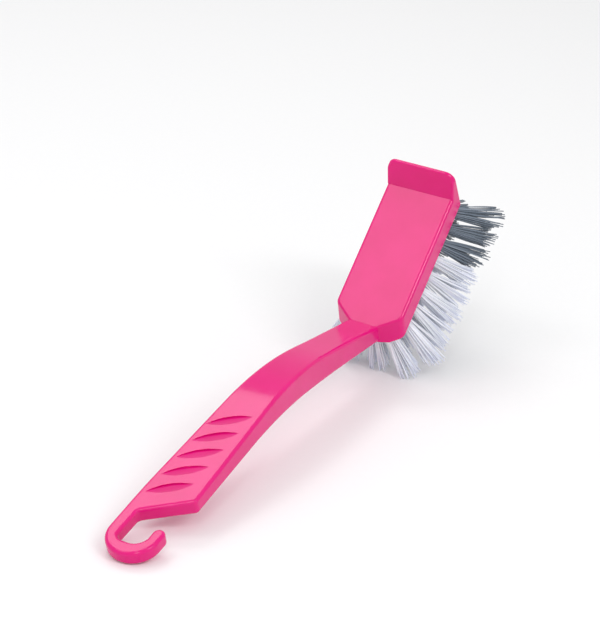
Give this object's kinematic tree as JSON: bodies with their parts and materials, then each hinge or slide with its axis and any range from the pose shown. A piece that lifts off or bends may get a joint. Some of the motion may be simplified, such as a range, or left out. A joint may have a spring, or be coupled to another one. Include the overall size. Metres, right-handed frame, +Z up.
{
  "type": "scrubbing brush",
  "caption": "Long-handled scrubbing brush: moulded head with upright scraper lip, arched handle with finger recesses, open hang hook, grey and white bristle tufts.",
  "frame": {"origin": "middle of the brush's footprint, on the table it rests on, hook end and heel tufts down", "axes": "+X from the hang hook to the scraper lip, +Z up from the table, the hook opens towards -Y"},
  "size_m": [0.2966, 0.0644, 0.1015],
  "materials": {
    "moulded_plastic": "glossy hot pink",
    "grey_bristle": "slate grey nylon filament",
    "white_bristle": "bluish white nylon filament",
    "anchor_metal": "flat drawn wire"
  },
  "bodies": {
    "root": {"handle_and_head": "moulded_plastic", "anchors_row_1": "anchor_metal", "tuft_row_1_column_1": "white_bristle", "tuft_row_1_column_2": "white_bristle", "tuft_row_1_column_3": "white_bristle", "anchors_row_2": "anchor_metal", "tuft_row_2_column_1": "white_bristle", "tuft_row_2_column_2": "white_bristle", "tuft_row_2_column_3": "white_bristle", "tuft_row_2_column_4": "white_bristle", "anchors_row_3": "anchor_metal", "tuft_row_3_column_1": "white_bristle", "tuft_row_3_column_2": "white_bristle", "tuft_row_3_column_3": "white_bristle", "tuft_row_3_column_4": "white_bristle", "anchors_row_4": "anchor_metal", "tuft_row_4_column_1": "white_bristle", "tuft_row_4_column_2": "white_bristle", "tuft_row_4_column_3": "white_bristle", "tuft_row_4_column_4": "white_bristle", "anchors_row_5": "anchor_metal", "tuft_row_5_column_1": "white_bristle", "tuft_row_5_column_2": "white_bristle", "tuft_row_5_column_3": "white_bristle", "tuft_row_5_column_4": "white_bristle", "anchors_row_6": "anchor_metal", "tuft_row_6_column_1": "white_bristle", "tuft_row_6_column_2": "white_bristle", "tuft_row_6_column_3": "white_bristle", "tuft_row_6_column_4": "white_bristle", "anchors_row_7": "anchor_metal", "tuft_row_7_column_1": "grey_bristle", "tuft_row_7_column_2": "grey_bristle", "tuft_row_7_column_3": "grey_bristle", "tuft_row_7_column_4": "grey_bristle", "anchors_row_8": "anchor_metal", "tuft_row_8_column_1": "grey_bristle", "tuft_row_8_column_2": "grey_bristle", "tuft_row_8_column_3": "grey_bristle", "tuft_row_8_column_4": "grey_bristle", "anchors_row_9": "anchor_metal", "tuft_row_9_column_1": "grey_bristle", "tuft_row_9_column_2": "grey_bristle", "tuft_row_9_column_3": "grey_bristle", "tuft_row_9_column_4": "grey_bristle"}
  },
  "joints": []
}
